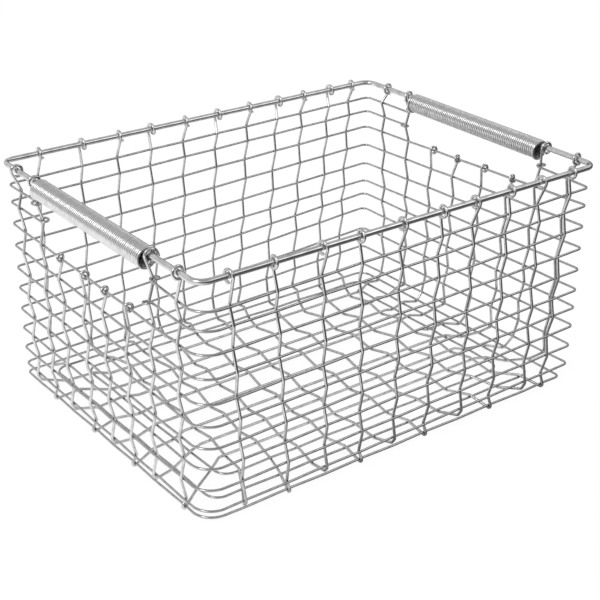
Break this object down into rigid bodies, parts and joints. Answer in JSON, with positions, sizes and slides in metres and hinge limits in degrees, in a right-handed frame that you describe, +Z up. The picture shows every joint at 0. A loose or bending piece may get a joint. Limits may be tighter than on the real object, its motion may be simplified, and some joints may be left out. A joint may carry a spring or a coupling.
{
  "type": "wire locker basket",
  "caption": "Rectangular open wire basket woven from spiral weaver wire and bent stakes hooked over a rod rim, with a hand hole and a coil-spring grip at each end.",
  "frame": {"origin": "on the ground under the middle of the basket", "axes": "+Z up; +X along the basket towards the right-hand grip; -Y is the long wall nearest the viewer"},
  "size_m": [0.4242, 0.3178, 0.213],
  "materials": {
    "rim_rod_steel": "bright plated rod, slightly satin",
    "stake_wire_steel": "bright plated wire, slightly satin",
    "weaver_wire_steel": "bright plated wire, slightly satin",
    "grip_spring_steel": "bright spring wire, close wound"
  },
  "bodies": {
    "basket": {"rim_rod": "rim_rod_steel", "weaver": "weaver_wire_steel", "front_top_row": "weaver_wire_steel", "back_top_row_upper": "weaver_wire_steel", "back_top_row_lower": "weaver_wire_steel", "cross_stake_01": "stake_wire_steel", "cross_stake_02": "stake_wire_steel", "cross_stake_03": "stake_wire_steel", "cross_stake_04": "stake_wire_steel", "cross_stake_05": "stake_wire_steel", "cross_stake_06": "stake_wire_steel", "cross_stake_07": "stake_wire_steel", "cross_stake_08": "stake_wire_steel", "cross_stake_09": "stake_wire_steel", "cross_stake_10": "stake_wire_steel", "long_stake_1": "stake_wire_steel", "long_stake_2": "stake_wire_steel", "long_stake_3": "stake_wire_steel", "long_stake_4": "stake_wire_steel", "long_stake_5": "stake_wire_steel", "long_stake_6": "stake_wire_steel", "long_stake_7": "stake_wire_steel", "long_stake_8": "stake_wire_steel", "back_stake": "stake_wire_steel"},
    "left_grip": {"grip_left": "grip_spring_steel"},
    "right_grip": {"grip_right": "grip_spring_steel"}
  },
  "joints": [
    {"name": "left_grip_turn", "type": "hinge", "parent": "basket", "child": "left_grip", "pos_m": [-0.203, 0, 0.20685], "axis": [0, 1, 0], "continuous": true},
    {"name": "right_grip_turn", "type": "hinge", "parent": "basket", "child": "right_grip", "pos_m": [0.203, 0, 0.20685], "axis": [0, 1, 0], "continuous": true}
  ]
}
